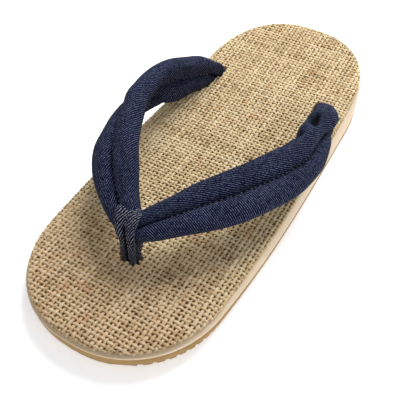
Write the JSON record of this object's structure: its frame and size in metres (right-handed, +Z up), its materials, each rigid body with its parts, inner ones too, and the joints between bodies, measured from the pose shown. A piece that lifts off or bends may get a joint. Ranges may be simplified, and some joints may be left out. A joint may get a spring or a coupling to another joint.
{
  "type": "zori thong sandal",
  "caption": "Flat zori-style thong sandal with a padded denim strap, a denim toe loop, a woven jute footbed, a cream foam wedge and a ribbed tan rubber outsole.",
  "frame": {"origin": "on the floor under the middle of the sole's outline", "axes": "+Z up, +Y towards the heel, -Y towards the toe, +X to the right seen from above with the toe pointing away from +Y"},
  "size_m": [0.1076, 0.2514, 0.0518],
  "materials": {
    "outsole_rubber": "matt tan rubber with a moulded rib pattern",
    "midsole_foam": "smooth cream foam, cut edge",
    "footbed_jute": "open plain weave of undyed jute over a brown backing",
    "strap_denim": "dark indigo twill, padded",
    "toe_loop_denim": "dark indigo twill, slightly faded"
  },
  "bodies": {
    "root": {"outsole": "outsole_rubber", "midsole": "midsole_foam", "footbed": "footbed_jute", "strap": "strap_denim", "toe_loop": "toe_loop_denim"}
  },
  "joints": []
}
